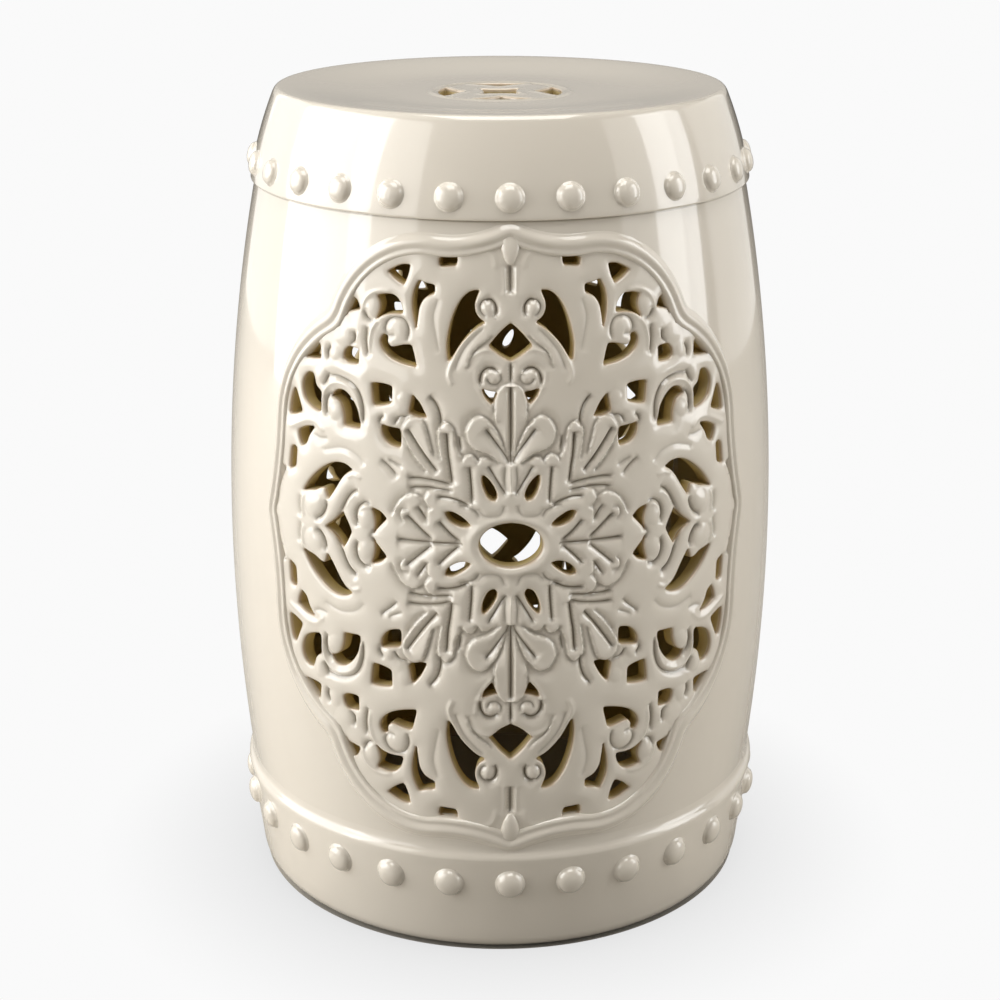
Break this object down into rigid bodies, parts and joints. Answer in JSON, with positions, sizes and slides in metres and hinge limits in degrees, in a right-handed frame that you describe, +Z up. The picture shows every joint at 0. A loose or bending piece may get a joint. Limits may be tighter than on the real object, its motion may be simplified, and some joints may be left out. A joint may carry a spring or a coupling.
{
  "type": "garden stool",
  "caption": "Drum-shaped glazed ceramic garden stool with openwork medallions front and back, nail-head bosses and a coin-pierced seat.",
  "frame": {"origin": "on the floor under the stool's vertical axis", "axes": "+Z up along the drum's axis, -Y out through the middle of the front medallion, +X to the right seen from the front"},
  "size_m": [0.3288, 0.3304, 0.4572],
  "materials": {
    "glaze": "gloss ivory glaze",
    "carved_glaze": "gloss ivory glaze pooled in carved relief"
  },
  "bodies": {
    "root": {"foot_band": "glaze", "foot_bosses": "glaze", "drum_wall": "glaze", "front_fretwork": "carved_glaze", "back_fretwork": "carved_glaze", "front_moulding": "glaze", "back_moulding": "glaze", "shoulder_band": "glaze", "shoulder_bosses": "glaze", "seat_slab": "glaze"}
  },
  "joints": []
}
